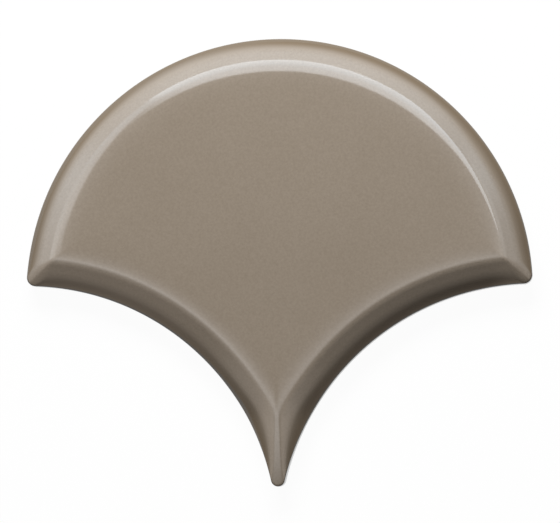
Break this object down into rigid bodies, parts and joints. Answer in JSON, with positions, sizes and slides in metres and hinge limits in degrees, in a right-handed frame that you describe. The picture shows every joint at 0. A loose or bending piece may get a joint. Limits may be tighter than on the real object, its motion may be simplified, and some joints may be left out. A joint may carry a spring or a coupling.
{
  "type": "fish scale tile",
  "caption": "Glazed ceramic wall tile in a fish scale outline, with a round head, hollow flanks, a narrow tail, a moulded bevelled rim and a keyed back for bedding in mortar",
  "frame": {"origin": "centre of the round head's arc, on the flat back that beds on the wall", "axes": "+X across the tile, +Y from the tail to the head, +Z out of the glazed face"},
  "size_m": [0.1348, 0.1193, 0.01],
  "materials": {
    "glaze": "gloss"
  },
  "bodies": {
    "root": {"fish_scale_tile": "glaze"}
  },
  "joints": []
}
